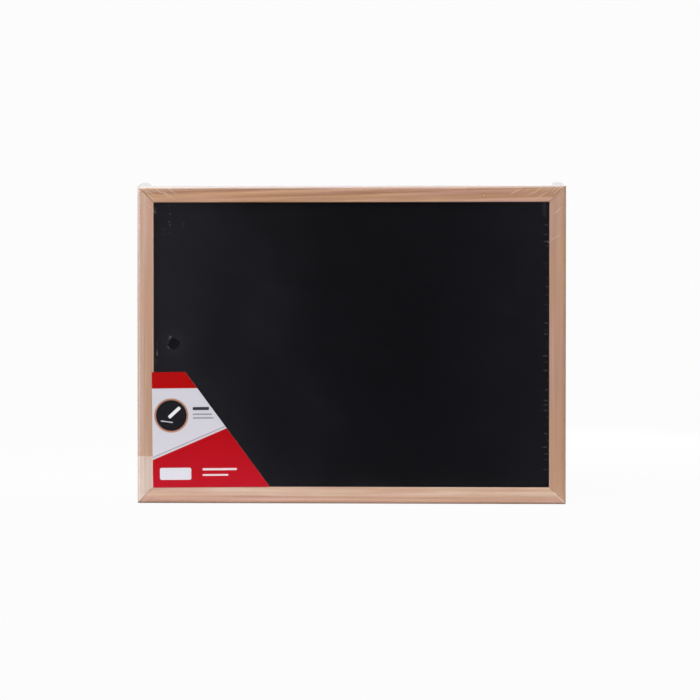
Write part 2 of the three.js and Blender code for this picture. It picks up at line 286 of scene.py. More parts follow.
class Nodes:
    """A material or world tree with short calls for the nodes used here."""

    def __init__(self, tree):
        self.tree = tree

    def add(self, kind, inputs=None, **settings):
        node = self.tree.nodes.new("ShaderNode" + kind)
        for key, value in settings.items():
            setattr(node, key, value)
        for key, value in (inputs or {}).items():
            self.put(value, node.inputs[key])
        return node

    def put(self, value, socket):
        if isinstance(value, bpy.types.NodeSocket):
            self.tree.links.new(value, socket)
        else:
            socket.default_value = value

    def feed(self, node, **values):
        """Links or sets inputs by name, with an underscore for each space."""
        for name, value in values.items():
            self.put(value, node.inputs[name.replace("_", " ")])

    def math(self, operation, first, second=0.0, third=0.0):
        inputs = {0: first, 1: second, 2: third}
        return self.add("Math", inputs, operation=operation).outputs[0]

    def times(self, first, *others):
        for other in others:
            first = self.math("MULTIPLY", first, other)
        return first

    def apart(self, first, second):
        return self.math("ABSOLUTE", self.math("SUBTRACT", first, second))

    def distance(self, first, second):
        """How far a place is from the origin of two coordinates."""
        squares = [self.math("POWER", value, 2.0) for value in (first, second)]
        return self.math("SQRT", self.math("ADD", *squares))

    def mix(self, factor, first, second, blend="MIX"):
        inputs = {0: factor, 6: first, 7: second}
        return self.add("Mix", inputs, data_type="RGBA", blend_type=blend).outputs[2]

    def ramp(self, value, stops):
        node = self.add("ValToRGB", {0: value})
        elements = node.color_ramp.elements
        while len(elements) < len(stops):
            elements.new(0.5)
        for element, (place, colour) in zip(elements, stops):
            element.position = place
            element.color = colour
        return node.outputs[0]

    def span(self, value, low, high, to_low=0.0, to_high=1.0, smooth=False):
        inputs = {0: value, 1: low, 2: high, 3: to_low, 4: to_high}
        kind = "SMOOTHSTEP" if smooth else "LINEAR"
        return self.add("MapRange", inputs, interpolation_type=kind).outputs[0]

    def place(self, vector, location=(0, 0, 0), scale=(1, 1, 1), rotation=(0, 0, 0), kind="POINT"):
        inputs = {"Vector": vector, "Location": location, "Rotation": rotation, "Scale": scale}
        return self.add("Mapping", inputs, vector_type=kind).outputs[0]

    def plate(self, plane, centre, size, corner, turn=0.0):
        """1 inside a rounded rectangle that is drawn in the x and z of a plane."""
        own = self.place(plane, (centre[0], 0, centre[1]), rotation=(0, -turn, 0), kind="TEXTURE")
        away = self.split(self.add("VectorMath", {0: own}, operation="ABSOLUTE").outputs[0])
        right = self.math("SUBTRACT", away[0], size[0] / 2 - corner)
        up = self.math("SUBTRACT", away[2], size[1] / 2 - corner)
        outside = self.distance(self.math("MAXIMUM", right, 0.0), self.math("MAXIMUM", up, 0.0))
        return self.span(outside, corner + PRINT_BLUR, corner - PRINT_BLUR)

    def noise(self, vector, scale=1.0, detail=2.0, roughness=0.5):
        inputs = {"Vector": vector, "Scale": scale, "Detail": detail, "Roughness": roughness}
        return self.add("TexNoise", inputs).outputs[0]

    def bump(self, height, distance, strength=1.0):
        inputs = {"Height": height, "Distance": distance, "Strength": strength}
        return self.add("Bump", inputs).outputs[0]

    def objects(self):
        return self.add("TexCoord").outputs["Object"]

    def split(self, vector):
        return self.add("SeparateXYZ", {0: vector}).outputs

    def join(self, x, y, z):
        return self.add("CombineXYZ", {0: x, 1: y, 2: z}).outputs[0]


def new_material(name):
    made = bpy.data.materials.new(name)
    made.use_nodes = True
    made.node_tree.nodes.clear()
    return made, Nodes(made.node_tree)


def principled(name, **values):
    """A new material with one Principled shader, its plain values set on its own sockets."""
    made, nodes = new_material(name)
    shader = nodes.add("BsdfPrincipled")
    nodes.feed(shader, **values)
    nodes.add("OutputMaterial", {"Surface": shader.outputs[0]})
    return made, nodes, shader


# Wood


def paler_foot(nodes, colour, up, height, pale):
    """Paler wood below a height, with a light glue line across the joint."""
    below = nodes.span(up, height + SEAM_FULL, height - SEAM_FULL)
    colour = nodes.mix(below, colour, pale)
    seam = nodes.span(nodes.apart(up, height), SEAM_WIDTH, SEAM_FULL)
    return nodes.mix(nodes.times(seam, 0.55), colour, tone(232, 220, 210))


def painted_wall_shade(nodes, colour, depth, crosswise):
    """Painted shade on the wall round the panel, darker towards the panel."""
    on_wall = nodes.math("GREATER_THAN", crosswise, FACE - WALL_SLACK)
    deep = nodes.span(depth, FRONT + WALL_SHADE_START, FRONT + WALL_SHADE_FULL, smooth=True)
    before_panel = nodes.math("LESS_THAN", depth, SHEET_BACK)
    # the painted shade's colour
    return nodes.mix(nodes.times(on_wall, deep, before_panel), colour, tone(58, 30, 24))


def mitre_line(nodes, colour, from_end, crosswise):
    """A pale line beside the mitre at the far end of a rail."""
    line = nodes.span(nodes.apart(from_end, crosswise), MITRE_LINE, MITRE_LINE_FULL, smooth=True)
    inwards = nodes.span(crosswise, MITRE_LINE_START, MITRE_LINE_END, smooth=True)
    return nodes.mix(nodes.times(line, inwards, 0.35), colour, tone(226, 200, 182))


def small_knot(nodes, colour, right, up, x, z, radius):
    """A pale knot with a worn ring of bark."""
    away = nodes.distance(nodes.math("SUBTRACT", right, x), nodes.math("SUBTRACT", up, z))
    inside = nodes.times(nodes.span(away, radius, 0.6 * radius, smooth=True), 0.5)
    colour = nodes.mix(inside, colour, tone(214, 166, 138))
    worn = nodes.span(nodes.noise(nodes.objects(), scale=900), 0.35, 0.65, 0.15, 0.85)
    bark = nodes.span(nodes.apart(away, radius), SEAM_WIDTH, SEAM_FULL, smooth=True)
    return nodes.mix(nodes.times(bark, worn), colour, tone(158, 88, 64))


def wood(
    name, along, across, length, inner, outer, split, seed,
    streak=0.2, lean=0.0, rosiness=0.6, honeyed=0.5, rim=1.0, arris=1.05,
    pale_mitre=False, paler_below=None, knot=None,
):
    """Sanded softwood with its grain along one rail.

    along and across are (axis, sign, offset) of the object's own x or z, in metres, across from
    the rail's outer edge inwards. inner and outer are the tones of the two bands of the face, and
    split is where they meet. streak, rosiness and honeyed are the strength of the grain and of its
    two kinds of patches. lean is how far the grain runs out to the edge. rim is painted shade along
    the outer edge, how much darker the wood is drawn there (lighter above 1), and arris is painted
    highlight and shade beside the panel, lighter above 1 and darker below. paler_below is the height
    of a joint and the tone of the paler wood below it, knot its x, z and radius.
    """
    made, nodes, shader = principled(name, Roughness=0.62, Specular_IOR_Level=0.32)
    parts = nodes.split(nodes.objects())
    lengthwise = nodes.math("MULTIPLY_ADD", parts[along[0]], along[1], along[2])
    crosswise = nodes.math("MULTIPLY_ADD", parts[across[0]], across[1], across[2])
    leaned = nodes.math("MULTIPLY_ADD", lengthwise, lean, crosswise)
    grain = nodes.place(nodes.join(lengthwise, leaned, parts[1]), location=(seed, seed, seed))

    drift = nodes.noise(nodes.place(grain, scale=(9, 45, 45)), detail=2)
    broad = nodes.noise(nodes.place(grain, scale=(6, 420, 300)), detail=3, roughness=0.55)
    fine = nodes.noise(nodes.place(grain, scale=(28, 1700, 1300)), detail=4, roughness=0.6)
    pores = nodes.noise(nodes.place(grain, scale=(150, 6500, 5000)), detail=2)

    wobble = nodes.math("MULTIPLY_ADD", drift, BAND_WANDER, leaned)
    band = nodes.span(wobble, split + BAND_START, split + BAND_END, smooth=True)
    colour = nodes.mix(band, tone(*outer), tone(*inner))

    rosy = nodes.span(nodes.noise(nodes.place(grain, scale=(17, 150, 150)), detail=2), 0.48, 0.7)
    colour = nodes.mix(nodes.times(rosy, rosiness), colour, tone(203, 156, 144))
    honey = nodes.span(nodes.noise(nodes.place(grain, scale=(13, 260, 200)), detail=2), 0.6, 0.42)
    colour = nodes.mix(nodes.times(honey, honeyed), colour, tone(192, 150, 108))

    if paler_below is not None:
        colour = paler_foot(nodes, colour, parts[2], *paler_below)

    light = nodes.span(broad, 0.3, 0.72, 1.0 - 1.2 * streak, 1.0 + 0.8 * streak)
    light = nodes.times(
        light,
        nodes.span(fine, 0.25, 0.75, 0.94, 1.05),
        nodes.span(pores, 0.6, 0.74, 1.0, 0.9),
        # painted shade along the outer edge, set by rim
        nodes.span(crosswise, RIM_SHADE_WIDTH, RIM_SHADE_FULL, 1.0, rim, smooth=True),
    )
    warm = [nodes.math("POWER", light, power) for power in (0.8, 1.05, 1.4)]
    colour = nodes.mix(1.0, colour, nodes.join(*warm), blend="MULTIPLY")

    # painted highlight beside the panel where arris is above 1, painted shade where it is below 1
    beside = nodes.span(crosswise, FACE - ARRIS_LIGHT_WIDTH, FACE - ARRIS_LIGHT_FULL, 1.0, arris, smooth=True)
    colour = nodes.mix(1.0, colour, nodes.join(beside, beside, beside), blend="MULTIPLY")
    # painted shade in the recess, on the wall round the panel
    colour = painted_wall_shade(nodes, colour, parts[1], crosswise)
    if pale_mitre:
        from_end = nodes.math("SUBTRACT", length, lengthwise)
        colour = mitre_line(nodes, colour, from_end, crosswise)
    if knot is not None:
        colour = small_knot(nodes, colour, parts[0], parts[2], *knot)

    relief = nodes.math("ADD", nodes.times(pores, 0.5), fine)
    nodes.feed(shader, Base_Color=colour, Normal=nodes.bump(relief, GRAIN_RELIEF, 0.2))
    return made


# Piece helpers


def piece(work, name, finishes, body="board", replaced=(), sharp_degrees=32):
    """Makes a mesh piece of a bmesh, with its finishes in the order of its material numbers."""
    mesh = bpy.data.meshes.new(name)
    work.to_mesh(mesh)
    work.free()
    mesh.shade_smooth()
    mesh.set_sharp_from_angle(angle=math.radians(sharp_degrees))
    for finish in finishes:
        mesh.materials.append(finish)
    made = bpy.data.objects.new(name, mesh)
    bpy.context.scene.collection.objects.link(made)
    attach(made, body)
    if replaced:
        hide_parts(*replaced)
    return made


def smooth_copy(node, name, finish):
    """The frame's own solid with its flats made whole and its rounds smooth."""
    work = bmesh.new()
    work.from_mesh(frame["nodes"][node].data)
    bmesh.ops.remove_doubles(work, verts=work.verts, dist=MERGE)
    bmesh.ops.dissolve_limit(work, angle_limit=FLAT_TURN, verts=work.verts, edges=work.edges)
    made = piece(work, name, [finish], replaced=[node])
    flats = made.modifiers.new("flats", "WEIGHTED_NORMAL")
    flats.keep_sharp = True


def only_verts(parts):
    return [part for part in parts if isinstance(part, bmesh.types.BMVert)]


def only_edges(parts):
    return [part for part in parts if isinstance(part, bmesh.types.BMEdge)]


def grow_edges(work, edges):
    """Extrudes edges on the spot, and returns the new vertices and the new edges between them."""
    grown = bmesh.ops.extrude_edge_only(work, edges=edges)["geom"]
    verts = only_verts(grown)
    fresh = set(verts)
    return verts, [edge for edge in only_edges(grown) if fresh.issuperset(edge.verts)]


def thicken(work, depth):
    """Gives a flat shape its depth, from its front backwards."""
    grown = bmesh.ops.extrude_face_region(work, geom=work.faces[:])["geom"]
    bmesh.ops.translate(work, verts=only_verts(grown), vec=(0, depth, 0))


def ease(work, geom, reach, steps, affect):
    """Rounds edges or corners."""
    bmesh.ops.bevel(
        work, geom=geom, offset=reach, segments=steps, profile=0.5, affect=affect, material=-1
    )


def close_up(work, reach=MERGE):
    """Joins what meets and turns all faces outwards."""
    bmesh.ops.remove_doubles(work, verts=work.verts, dist=reach)
    bmesh.ops.recalc_face_normals(work, faces=work.faces)


def look(node, finish):
    """Gives a CAD node that stays its finish."""
    mesh = frame["nodes"][node].data
    mesh.materials.clear()
    mesh.materials.append(finish)


# Camera, floor, world and lamps


def make_camera():
    data = bpy.data.cameras.new("camera")
    data.lens = CAMERA_FOCAL_MM
    data.clip_start = 0.01
    made = bpy.data.objects.new("camera", data)
    made.location = CAMERA_PLACE
    made.rotation_euler = [math.radians(turn) for turn in CAMERA_TURN_DEGREES]
    bpy.context.scene.collection.objects.link(made)
    bpy.context.scene.camera = made


def seen_directly(nodes):
    """1 for camera and transmission rays, 0 for the rest."""
    path = nodes.add("LightPath").outputs
    return nodes.math("MAXIMUM", path["Is Camera Ray"], path["Is Transmission Ray"])


def floor_white():
    """Pale and matt. It melts into the backdrop outwards and keeps the board's shadow."""
    made, nodes = new_material("floor_white")
    parts = nodes.split(nodes.objects())
    away = nodes.distance(parts[0], nodes.math("SUBTRACT", parts[1], FLOOR_BEHIND))
    fade = nodes.span(away, FLOOR_FADE, 0.97 * FLOOR_RADIUS, 0.9, 1.0, smooth=True)
    seen = seen_directly(nodes)
    matt = nodes.add("BsdfDiffuse", {"Color": nodes.mix(seen, FLOOR_LIT, FLOOR_SEEN)})
    glow = nodes.add("Emission", {"Color": (1, 1, 1, 1), "Strength": WHITE})
    surface = nodes.add(
        "MixShader", {0: nodes.times(fade, seen), 1: matt.outputs[0], 2: glow.outputs[0]}
    )
    nodes.add("OutputMaterial", {"Surface": surface.outputs[0]})
    return made


def make_floor():
    work = bmesh.new()
    bmesh.ops.create_circle(work, cap_ends=True, segments=96, radius=FLOOR_RADIUS)
    bmesh.ops.translate(work, verts=work.verts, vec=(0, FLOOR_BEHIND, BOTTOM - FLOOR_GAP))
    mesh = bpy.data.meshes.new("floor")
    work.to_mesh(mesh)
    work.free()
    mesh.materials.append(floor_white())
    floor = bpy.data.objects.new("floor", mesh)
    bpy.context.scene.collection.objects.link(floor)


def make_world():
    """White to look at. What it lights and mirrors is dim round the camera's side."""
    world = bpy.data.worlds.new("studio")
    bpy.context.scene.world = world
    world.use_nodes = True
    world.node_tree.nodes.clear()
    nodes = Nodes(world.node_tree)
    parts = nodes.split(nodes.add("TexCoord").outputs["Generated"])
    facing = nodes.times(parts[1], -1.0)
    level = nodes.ramp(nodes.span(facing, -1.0, 1.0), WORLD_LEVELS)
    in_front = nodes.span(facing, 0.9, 0.96, smooth=True)
    slant = nodes.math("MULTIPLY_ADD", parts[2], 0.35, parts[0])
    left = nodes.span(slant, -0.1, -0.05, 1.0, 0.0, smooth=True)
    right = nodes.span(parts[0], 0.03, 0.1, 0.0, 0.75, smooth=True)
    beside = nodes.math("MAXIMUM", left, right)
    shaded = nodes.times(in_front, nodes.math("SUBTRACT", 1.0, beside))
    level = nodes.mix(shaded, level, WORLD_DARK)
    studio = nodes.add("Background", {"Color": level, "Strength": 1.0})
    plain = nodes.add("Background", {"Color": (1, 1, 1, 1), "Strength": WHITE})
    mixed = nodes.add(
        "MixShader", {0: seen_directly(nodes), 1: studio.outputs[0], 2: plain.outputs[0]}
    )
    nodes.add("OutputWorld", {"Surface": mixed.outputs[0]})


def make_lamps():
    """Round soft lamps that all look at the board's middle."""
    middle = Vector((0, FRONT, (TOP + BOTTOM) / 2))
    for name, place, width, watts, mirrored in LAMPS:
        data = bpy.data.lights.new(name, "AREA")
        data.shape = "DISK"
        data.size = width
        data.energy = watts
        made = bpy.data.objects.new(name, data)
        made.visible_glossy = mirrored
        made.location = middle + Vector(place)
        made.rotation_euler = (middle - made.location).to_track_quat("-Z", "Y").to_euler()
        bpy.context.scene.collection.objects.link(made)


# Panel


def slate_finish():
    """Matt black, faintly wiped, paler round the vent, with specks of dust near one corner."""
    made, nodes, shader = principled("slate_coating", Specular_IOR_Level=0.06)
    place = nodes.objects()
    cloud = nodes.noise(nodes.place(place, scale=(7, 7, 11)), detail=3)
    grit = nodes.noise(place, scale=2600, detail=2)
    wiped = nodes.noise(nodes.place(place, rotation=(0, 0.6, 0), scale=(9, 9, 160)), detail=4)
    haze = nodes.times(nodes.span(cloud, 0.35, 0.75), nodes.span(wiped, 0.45, 0.8))
    colour = nodes.mix(haze, tone(6, 6, 9), tone(12, 12, 16))

    vent = nodes.place(place, (VENT[0], 0, VENT[1]), scale=(1, 0, 1), kind="TEXTURE")
    from_vent = nodes.add("VectorMath", {0: vent}, operation="LENGTH").outputs["Value"]
    faded = nodes.span(from_vent, *VENT_FADE, 0.0, 0.9, smooth=True)
    colour = nodes.mix(faded, colour, tone(18, 18, 22))

    right, _, up = nodes.split(place)
    near_corner = nodes.times(
        nodes.span(right, *DUST_TOWARDS_LEFT), nodes.span(up, *DUST_UPWARDS)
    )
    flat = nodes.join(right, up, 0.0)
    for spread, kind, scale, rarity, radius, where in (
        (place, "3D", 95, 0.72, 0.034, 1.0),
        (flat, "2D", 190, 0.55, 0.09, near_corner),
    ):
        inputs = {"Vector": spread, "Scale": scale}
        cells = nodes.add("TexVoronoi", inputs, voronoi_dimensions=kind).outputs
        chosen = nodes.span(nodes.split(cells["Color"])[0], rarity, rarity + 0.02)
        speck = nodes.span(cells["Distance"], radius, 0.4 * radius)
        colour = nodes.mix(nodes.times(chosen, where, speck), colour, tone(92, 92, 98))
    gloss = nodes.span(grit, 0.3, 0.7, 0.42, 0.58)
    relief = nodes.bump(grit, SLATE_RELIEF, 0.5)
    nodes.feed(shader, Base_Color=colour, Roughness=gloss, Normal=relief)
    return made


def fibre_finish():
    """Pressed wood fibre."""
    made, nodes, shader = principled("fibreboard", Roughness=0.9, Specular_IOR_Level=0.2)
    fibres = nodes.noise(nodes.place(nodes.objects(), scale=(900, 1800, 900)), detail=4)
    colour = nodes.ramp(fibres, [(0.3, tone(112, 84, 58)), (0.7, tone(150, 120, 88))])
    nodes.feed(shader, Base_Color=colour, Normal=nodes.bump(fibres, FIBRE_RELIEF, 0.5))
    return made


def zinc_finish():
    """Galvanised sheet: zinc flowers under faint rolling lines."""
    made, nodes, shader = principled("zinc_steel", Metallic=0.85)
    place = nodes.objects()
    spangle = nodes.add("TexVoronoi", {"Vector": place, "Scale": 240.0}).outputs["Color"]
    grey = nodes.add("RGBToBW", {0: spangle}).outputs[0]
    rolled = nodes.noise(nodes.place(place, scale=(12, 12, 900)), detail=3)
    mixed = nodes.math("ADD", nodes.times(grey, 0.35), nodes.times(rolled, 0.6))
    colour = nodes.ramp(mixed, [(0.2, tone(158, 160, 163)), (0.8, tone(186, 188, 191))])
    nodes.feed(shader, Base_Color=colour, Roughness=nodes.span(mixed, 0.2, 0.8, 0.36, 0.55))
    return made


def metal_finish(name, dark, light, roughness):
    """Plain or plated metal, blotched and rubbed across."""
    made, nodes, shader = principled(name, Metallic=1.0)
    place = nodes.objects()
    blotch = nodes.noise(place, scale=500, detail=4)
    rubbed = nodes.noise(nodes.place(place, scale=(3000, 3000, 400)), detail=3)
    colour = nodes.ramp(blotch, [(0.3, dark), (0.7, light)])
    gloss = nodes.span(rubbed, 0.3, 0.7, roughness - 0.08, roughness + 0.1)
    relief = nodes.bump(rubbed, METAL_RELIEF, 0.4)
    nodes.feed(shader, Base_Color=colour, Roughness=gloss, Normal=relief)
    return made


# Hangers


def ring(body, node, finish):
    """The D ring, swept from the middle of its straight bar all the way round."""
    hinge = HINGES[body]
    half = RING_WIDTH / 2
    shoulder = half - RING_BEND
    rise = RING_REACH - half
    work = bmesh.new()
    bmesh.ops.create_circle(
        work,
        segments=WIRE_SIDES,
        radius=WIRE / 2,
        matrix=Matrix.Translation(hinge) @ Matrix.Rotation(math.pi / 2, 4, "Y"),
    )
    edges = list(work.edges)

    def straight(edges, step):
        verts, edges = grow_edges(work, edges)
        bmesh.ops.translate(work, verts=verts, vec=step)
        return edges

    def bend(edges, centre, degrees, steps):
        grown = bmesh.ops.spin(
            work,
            geom=edges,
            cent=hinge + centre,
            axis=(0, -1, 0),
            angle=math.radians(degrees),
            steps=steps,
        )["geom_last"]
        return only_edges(grown)

    edges = straight(edges, Vector((shoulder, 0, 0)))
    edges = bend(edges, Vector((shoulder, 0, RING_BEND)), 90, RING_BEND_STEPS)
    edges = straight(edges, Vector((0, 0, rise - RING_BEND)))
    edges = bend(edges, Vector((0, 0, rise)), 180, RING_BOW_STEPS)
    edges = straight(edges, Vector((0, 0, RING_BEND - rise)))
    edges = bend(edges, Vector((-shoulder, 0, RING_BEND)), 90, RING_BEND_STEPS)
    straight(edges, Vector((shoulder, 0, 0)))
    close_up(work, RING_MERGE)
    piece(work, f"d_{body}", [finish], body=body, replaced=[node])


def strap(body, node, finish):
    """The plate with its round foot, then the loop rolled round the ring's bar."""
    hinge = HINGES[body]
    inner = STRAP_LOOP_RADIUS
    work = bmesh.new()
    bmesh.ops.create_grid(
        work,
        x_segments=1,
        y_segments=1,
        size=0.5,
        matrix=Matrix.Translation((0, -inner - STRAP_THICKNESS, -STRAP_REACH / 2))
        @ Matrix.Rotation(math.pi / 2, 4, "X")
        @ Matrix.Diagonal((STRAP_WIDTH, STRAP_REACH, 1, 1)),
    )
    foot = [vert for vert in work.verts if vert.co.z < -STRAP_REACH / 2]
    ease(work, foot, STRAP_FOOT_ROUND * STRAP_WIDTH, STRAP_FOOT_STEPS, "VERTICES")
    thicken(work, STRAP_THICKNESS)
    top = [face for face in work.faces if face.calc_center_median().z > -MERGE]
    bmesh.ops.spin(
        work,
        geom=top,
        cent=(0, 0, 0),
        axis=(-1, 0, 0),
        angle=math.radians(STRAP_WRAP_DEGREES),
        steps=STRAP_WRAP_STEPS,
    )
    bmesh.ops.delete(work, geom=[face for face in top if face.is_valid], context="FACES")
    close_up(work)
    arrises = [edge for edge in work.edges
               if edge.is_manifold and edge.calc_face_angle() > SHARP_TURN]
    ease(work, arrises, STRAP_EDGE, STRAP_EDGE_STEPS, "EDGES")
    bmesh.ops.translate(work, verts=work.verts, vec=hinge)
    piece(work, node.replace("hanger_", ""), [finish], replaced=[node])


# Shrink film


def film_on_card(nodes, place):
    """1 over the card's face, 0 beside it."""
    plane = nodes.place(place, CARD_FOOT, rotation=(0, -CARD_TURN, 0), kind="TEXTURE")
    right, _, up = nodes.split(plane)
    slant = (CARD_WIDTH - CARD_TOP_WIDTH) / CARD_HEIGHT
    beyond = nodes.math("MULTIPLY_ADD", up, slant, right)
    return nodes.times(
        nodes.span(beyond, CARD_WIDTH + PRINT_BLUR, CARD_WIDTH - PRINT_BLUR),
        nodes.span(right, -PRINT_BLUR, PRINT_BLUR),
        nodes.span(up, -PRINT_BLUR, PRINT_BLUR),
        nodes.span(up, CARD_HEIGHT + PRINT_BLUR, CARD_HEIGHT - PRINT_BLUR),
    )


def film_finish(
    name, haze, roughness, gleam=FILM_GLEAM, waviness=0.5, milk_tone=(244, 230, 220),
    rounded=False, upper_highlight_haze=0.0,
):
    """Clear film: what it doesn't mirror or scatter goes straight through.

    Where rounded, haze and gleam come up behind the front, and fall again where the round ends and
    towards the right, a painted highlight along the edge's round over the film's own gloss.
    upper_highlight_haze is added to the haze towards the top of the board, more painted highlight.
    """
    made, nodes = new_material(name)
    place = nodes.objects()
    waves = nodes.noise(nodes.place(place, scale=(16, 16, 22)), detail=2)
    cockle = nodes.noise(nodes.place(place, scale=(40, 40, 75)), detail=1)
    height = nodes.math("MULTIPLY_ADD", cockle, 0.05, waves)
    shape = nodes.bump(height, FILM_COCKLE, waviness)
    clear = nodes.add("BsdfTransparent", {"Color": (1, 1, 1, 1)})
    gloss = nodes.add(
        "BsdfGlossy", {"Color": (1, 1, 1, 1), "Roughness": roughness, "Normal": shape}
    )
    # painted highlight: haze and gloss raised on the round, fading to the right and growing towards
    # the top
    if rounded:
        right, depth, up = nodes.split(place)
        fade_start, fade_end, faded = GLEAM_FADE
        rise_end = FRONT + FILM_GLEAM_RISE
        fall_start = FRONT + FILM_GLEAM_FALL
        fall_end = FRONT + 0.9 * FILM_ROUND
        rounding = nodes.times(
            nodes.span(depth, FRONT - 2 * FILM_GAP, rise_end, smooth=True),
            nodes.span(depth, fall_start, fall_end, 1.0, 0.0, smooth=True),
            nodes.span(right, fade_start, fade_end, 1.0, faded),
        )
        haze = nodes.times(rounding, nodes.span(up, *UPPER_HIGHLIGHT_HAZE, haze, haze + upper_highlight_haze))
        gleam = nodes.math("MULTIPLY_ADD", rounding, gleam - FILM_GLEAM, FILM_GLEAM)
    elif gleam == FILM_GLEAM:
        cling = film_on_card(nodes, place)
        gleam = nodes.math("MULTIPLY_ADD", cling, FILM_GLEAM_ON_CARD - FILM_GLEAM, FILM_GLEAM)
    milk = nodes.add("BsdfDiffuse", {"Color": tone(*milk_tone)})
    clear = nodes.add("MixShader", {0: haze, 1: clear.outputs[0], 2: milk.outputs[0]})
    facing = nodes.add("LayerWeight", {"Blend": 0.5, "Normal": shape}).outputs["Facing"]
    rest = nodes.math("SUBTRACT", 1.0, gleam)
    share = nodes.math("MULTIPLY_ADD", nodes.math("POWER", facing, 5.0), rest, gleam)
    surface = nodes.add("MixShader", {0: share, 1: clear.outputs[0], 2: gloss.outputs[0]})
    nodes.add("OutputMaterial", {"Surface": surface.outputs[0]})
    return made


def vent_reach(x, z):
    """How far out the vent's edge lies in a direction from its centre, as a share of its radius."""
    return 1 + VENT_PULL * math.cos(4 * (math.atan2(z, x) - VENT_TURN))


def over_card(x, z):
    """1 over the card, falling to 0 where the film is back on the frame."""
    right = x - CARD_LOW.x
    up = z - CARD_LOW.z
    slant = Vector((CARD_HEIGHT, CARD_WIDTH - CARD_TOP_WIDTH)).normalized()
    beyond_slant = (right - CARD_WIDTH) * slant.x + up * slant.y
    beyond = max(-right, -up, up - CARD_HEIGHT, beyond_slant, 0.0)
    share = max(0.0, 1.0 - beyond / FILM_DRAPE)
    return share * share * (3 - 2 * share)


def film_lift(x, z):
    """How far the film stands off the frame's front at a place."""
    card = over_card(x, z) * (FRONT - CARD_LOW.y)
    wave = noise.noise(Vector((x, 0.0, z)) * FILM_WAVE_SCALE + FILM_WAVE_SHIFT)
    return FILM_GAP + card + FILM_WAVE * (1.0 + wave)


def cut_vent(work, vent):
    """Clears the grid's faces round the vent and closes the gap up to its edge."""

    def ragged_edges():
        return [edge for edge in work.edges
                if edge.is_boundary and (edge.verts[0].co - vent).length < 3 * VENT_RADIUS]

    hole = [face for face in work.faces
            if (face.calc_center_median() - vent).length < VENT_RADIUS + FILM_CELL]
    bmesh.ops.delete(work, geom=hole, context="FACES")
    bmesh.ops.subdivide_edges(work, edges=ragged_edges(), cuts=1)
    verts, _ = grow_edges(work, ragged_edges())
    for vert in verts:
        outward = (vert.co - vent).normalized()
        vert.co = vent + outward * VENT_RADIUS * vent_reach(outward.x, outward.z)


def film_section():
    """Steps out and back from the front's border: the round, the side and the lap behind."""
    depth = BACK - FRONT + 2 * FILM_GAP
    steps = []
    for step in range(1, FILM_ROUND_STEPS + 1):
        turn = step / FILM_ROUND_STEPS * math.pi / 2
        steps.append((FILM_ROUND * math.sin(turn), FILM_ROUND * (1 - math.cos(turn))))
    for share in FILM_SIDE_STEPS:
        steps.append((FILM_ROUND, FILM_ROUND + share * (depth - FILM_ROUND)))
    steps.append((FILM_ROUND - FILM_LAP, depth))
    return steps


def film_shell():
    """Front and four sides in one sheet, from a grid whose border is drawn out and back."""
    half_wide = RIGHT + FILM_GAP - FILM_ROUND
    half_tall = (TOP - BOTTOM) / 2 + FILM_GAP - FILM_ROUND
    middle = (TOP + BOTTOM) / 2
    work = bmesh.new()
    bmesh.ops.create_grid(
        work,
        x_segments=round(2 * half_wide / FILM_CELL),
        y_segments=round(2 * half_tall / FILM_CELL),
        size=1.0,
        matrix=Matrix.Rotation(math.pi / 2, 4, "X")
        @ Matrix.Diagonal((half_wide, half_tall, 1, 1)),
    )
    cut_vent(work, Vector((VENT[0], 0, VENT[1] - middle)))

    def near_border(vert):
        wide = half_wide - BORDER_SLACK
        tall = half_tall - BORDER_SLACK
        return abs(vert.co.x) > wide or abs(vert.co.z) > tall

    border = [edge for edge in work.edges
              if edge.is_boundary and all(near_border(vert) for vert in edge.verts)]
    out_before = 0.0
    back_before = 0.0
    for out, back in film_section():
        verts, border = grow_edges(work, border)
        for vert in verts:
            if abs(vert.co.x) > half_wide + out_before - BORDER_SLACK:
                vert.co.x += math.copysign(1, vert.co.x) * (out - out_before)
            if abs(vert.co.z) > half_tall + out_before - BORDER_SLACK:
                vert.co.z += math.copysign(1, vert.co.z) * (out - out_before)
            vert.co.y += back - back_before
        out_before = out
        back_before = back

    bmesh.ops.translate(work, verts=work.verts, vec=(0, FRONT, middle))
    for vert in work.verts:
        if vert.co.y < FRONT + BORDER_SLACK:
            vert.co.y -= film_lift(vert.co.x, vert.co.z)
        else:
            vert.co.y -= FILM_GAP
    bmesh.ops.recalc_face_normals(work, faces=work.faces)
    for face in work.faces:
        centre = face.calc_center_median()
        if centre.y < FRONT + FILM_ROUND:
            if centre.z > middle + half_tall:
                face.material_index = 1
            elif centre.x < -half_wide:
                face.material_index = 2
    bmesh.ops.solidify(work, geom=work.faces[:], thickness=FILM_THICKNESS)
    return work


def film_fold(work, x, z, length, width, turn_degrees):
    """A small crease: a long low lens, half sunk in the film."""
    place = Vector((x, FRONT - film_lift(x, z), z))
    shape = Matrix.Diagonal((length / 2, width * FOLD_DEPTH, width / 2, 1))
    turn = Matrix.Rotation(-math.radians(turn_degrees), 4, "Y")
    bmesh.ops.create_uvsphere(
        work,
        u_segments=8,
        v_segments=10,
        radius=1,
        matrix=Matrix.Translation(place) @ turn @ shape @ Matrix.Rotation(math.pi / 2, 4, "Y"),
    )


def corner_creases():
    """Short slanted folds round three corners, every fourth one along the upright edge."""
    draw = random.Random(11)
    work = bmesh.new()
    for side, up, folds in CREASED_CORNERS:
        for count in range(folds):
            along = draw.uniform(*CREASE_ALONG)
            across = draw.uniform(*CREASE_ACROSS)
            inwards, downwards = (across, along) if count % 4 == 3 else (along, across)
            x = side * (RIGHT - inwards)
            z = TOP - downwards if up > 0 else BOTTOM + downwards
            turn = side * up * draw.uniform(*CREASE_DEGREES)
            length = draw.uniform(*CREASE_LENGTH)
            film_fold(work, x, z, length, draw.uniform(*CREASE_WIDTH), turn)
    return work


